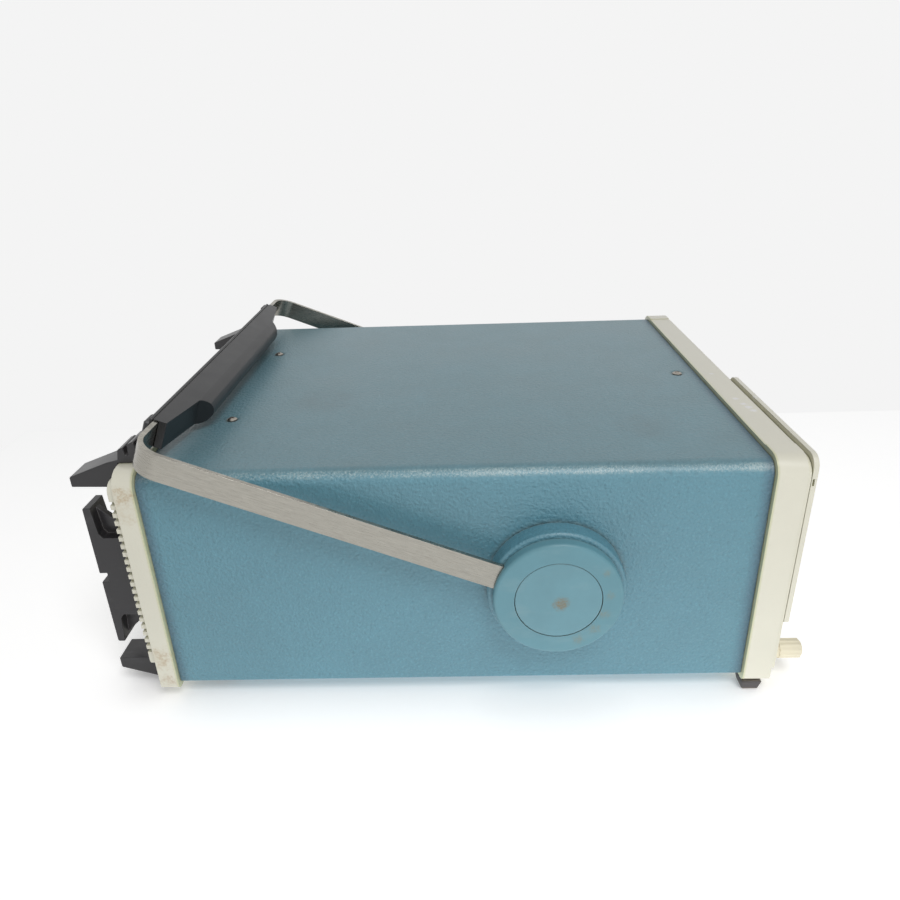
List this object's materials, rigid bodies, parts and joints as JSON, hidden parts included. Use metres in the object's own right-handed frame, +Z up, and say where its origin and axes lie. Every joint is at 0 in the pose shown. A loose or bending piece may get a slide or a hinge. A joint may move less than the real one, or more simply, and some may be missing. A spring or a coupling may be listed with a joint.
{
  "type": "function generator",
  "caption": "Portable bench function generator: blue steel sleeve between ivory frames, swing handle on side hubs, display bezel, dial, knobs, keys and coaxial outputs.",
  "frame": {"origin": "middle of the footprint, on the surface that the four feet stand on", "axes": "+X across the width to the right of a person facing the front, +Y from the front panel to the rear feet, +Z up"},
  "size_m": [0.3638, 0.4506, 0.191],
  "materials": {
    "blue_enamel": "textured satin enamel, slightly pebbled, worn pale along the top edges",
    "blue_moulding": "smooth satin moulding in the cabinet blue",
    "ivory_enamel": "satin ivory enamel on castings, stained at the rear corners",
    "brushed_steel": "grain along the strip",
    "black_moulding": "satin black moulding",
    "dark_rubber": "dull dark grey rubber",
    "ivory_moulding": "satin ivory moulding",
    "display_glass": "dark green tinted window",
    "bright_metal": "plated",
    "alloy_sheet": "plain sheet",
    "circuit_board": "green circuit board with parts",
    "grey_moulding": "satin grey moulding"
  },
  "bodies": {
    "cabinet": {"cabinet_sleeve": "blue_enamel", "chassis_tray": "alloy_sheet", "control_board": "circuit_board", "cord_cleat_left": "black_moulding", "cord_cleat_right": "black_moulding", "display_bezel": "ivory_enamel", "display_window": "display_glass", "fan_housing": "grey_moulding", "front_foot_left": "dark_rubber", "front_foot_right": "dark_rubber", "front_frame": "ivory_enamel", "front_panel": "ivory_enamel", "hub_base_left": "blue_moulding", "hub_base_right": "blue_moulding", "lid_screw_1": "bright_metal", "lid_screw_2": "bright_metal", "lid_screw_3": "bright_metal", "main_board": "circuit_board", "main_socket": "bright_metal", "picture_tube": "grey_moulding", "power_inlet": "black_moulding", "power_supply": "alloy_sheet", "rear_cover": "ivory_enamel", "rear_foot_lower_left": "black_moulding", "rear_foot_lower_right": "black_moulding", "rear_foot_upper_left": "black_moulding", "rear_foot_upper_right": "black_moulding", "rear_frame": "ivory_enamel", "rear_pad_left": "dark_rubber", "rear_pad_right": "dark_rubber", "sweep_socket": "bright_metal", "sync_socket": "bright_metal"},
    "handle": {"handle_strip": "brushed_steel", "handle_grip": "black_moulding", "grip_cover": "black_moulding", "hub_cap_left": "blue_moulding", "hub_cap_right": "blue_moulding"},
    "release_left": {"release_button_left": "blue_moulding"},
    "release_right": {"release_button_right": "blue_moulding"},
    "fan": {"fan_rotor": "black_moulding"},
    "focus_knob_body": {"focus_knob": "ivory_moulding"},
    "frequency_dial_body": {"frequency_dial": "grey_moulding"},
    "amplitude_knob_body": {"amplitude_knob": "grey_moulding"},
    "offset_knob_body": {"offset_knob": "grey_moulding"},
    "symmetry_knob_body": {"symmetry_knob": "grey_moulding"},
    "sine_key_body": {"sine_key": "ivory_moulding"},
    "square_key_body": {"square_key": "ivory_moulding"},
    "triangle_key_body": {"triangle_key": "ivory_moulding"},
    "ramp_key_body": {"ramp_key": "ivory_moulding"},
    "pulse_key_body": {"pulse_key": "ivory_moulding"},
    "dc_key_body": {"dc_key": "ivory_moulding"},
    "range_key_1_body": {"range_key_1": "ivory_moulding"},
    "range_key_2_body": {"range_key_2": "ivory_moulding"},
    "range_key_3_body": {"range_key_3": "ivory_moulding"},
    "range_key_4_body": {"range_key_4": "ivory_moulding"},
    "range_key_5_body": {"range_key_5": "ivory_moulding"},
    "power_key_body": {"power_key": "grey_moulding"}
  },
  "joints": [
    {"name": "handle_pivot", "type": "hinge", "parent": "cabinet", "child": "handle", "pos_m": [0, -0.0627, 0.086], "axis": [1, 0, 0], "range_deg": [0, 228]},
    {"name": "release_left_press", "type": "slide", "parent": "handle", "child": "release_left", "axis": [1, 0, 0], "range_m": [0, 0.0027], "stiffness_N_per_m": 1500},
    {"name": "release_right_press", "type": "slide", "parent": "handle", "child": "release_right", "axis": [-1, 0, 0], "range_m": [0, 0.0027], "stiffness_N_per_m": 1500},
    {"name": "fan_spin", "type": "hinge", "parent": "cabinet", "child": "fan", "pos_m": [0.06, 0.1838, 0.0922], "axis": [0, 1, 0], "continuous": true},
    {"name": "focus_knob_turn", "type": "hinge", "parent": "cabinet", "child": "focus_knob_body", "pos_m": [-0.15, -0.2063, 0.0219], "axis": [0, -1, 0], "range_deg": [-140, 140]},
    {"name": "frequency_dial_turn", "type": "hinge", "parent": "cabinet", "child": "frequency_dial_body", "pos_m": [0.038, -0.2063, 0.09886], "axis": [0, -1, 0], "range_deg": [-140, 140]},
    {"name": "amplitude_knob_turn", "type": "hinge", "parent": "cabinet", "child": "amplitude_knob_body", "pos_m": [0.122, -0.2063, 0.12293], "axis": [0, -1, 0], "range_deg": [-140, 140]},
    {"name": "offset_knob_turn", "type": "hinge", "parent": "cabinet", "child": "offset_knob_body", "pos_m": [0.122, -0.2063, 0.09287], "axis": [0, -1, 0], "range_deg": [-140, 140]},
    {"name": "symmetry_knob_turn", "type": "hinge", "parent": "cabinet", "child": "symmetry_knob_body", "pos_m": [0.122, -0.2063, 0.06292], "axis": [0, -1, 0], "range_deg": [-140, 140]},
    {"name": "sine_key_press", "type": "slide", "parent": "cabinet", "child": "sine_key_body", "axis": [0, 1, 0], "range_m": [0, 0.0025], "stiffness_N_per_m": 400},
    {"name": "square_key_press", "type": "slide", "parent": "cabinet", "child": "square_key_body", "axis": [0, 1, 0], "range_m": [0, 0.0025], "stiffness_N_per_m": 400},
    {"name": "triangle_key_press", "type": "slide", "parent": "cabinet", "child": "triangle_key_body", "axis": [0, 1, 0], "range_m": [0, 0.0025], "stiffness_N_per_m": 400},
    {"name": "ramp_key_press", "type": "slide", "parent": "cabinet", "child": "ramp_key_body", "axis": [0, 1, 0], "range_m": [0, 0.0025], "stiffness_N_per_m": 400},
    {"name": "pulse_key_press", "type": "slide", "parent": "cabinet", "child": "pulse_key_body", "axis": [0, 1, 0], "range_m": [0, 0.0025], "stiffness_N_per_m": 400},
    {"name": "dc_key_press", "type": "slide", "parent": "cabinet", "child": "dc_key_body", "axis": [0, 1, 0], "range_m": [0, 0.0025], "stiffness_N_per_m": 400},
    {"name": "range_key_1_press", "type": "slide", "parent": "cabinet", "child": "range_key_1_body", "axis": [0, 1, 0], "range_m": [0, 0.0025], "stiffness_N_per_m": 400},
    {"name": "range_key_2_press", "type": "slide", "parent": "cabinet", "child": "range_key_2_body", "axis": [0, 1, 0], "range_m": [0, 0.0025], "stiffness_N_per_m": 400},
    {"name": "range_key_3_press", "type": "slide", "parent": "cabinet", "child": "range_key_3_body", "axis": [0, 1, 0], "range_m": [0, 0.0025], "stiffness_N_per_m": 400},
    {"name": "range_key_4_press", "type": "slide", "parent": "cabinet", "child": "range_key_4_body", "axis": [0, 1, 0], "range_m": [0, 0.0025], "stiffness_N_per_m": 400},
    {"name": "range_key_5_press", "type": "slide", "parent": "cabinet", "child": "range_key_5_body", "axis": [0, 1, 0], "range_m": [0, 0.0025], "stiffness_N_per_m": 400},
    {"name": "power_key_press", "type": "slide", "parent": "cabinet", "child": "power_key_body", "axis": [0, 1, 0], "range_m": [0, 0.003], "stiffness_N_per_m": 400}
  ]
}
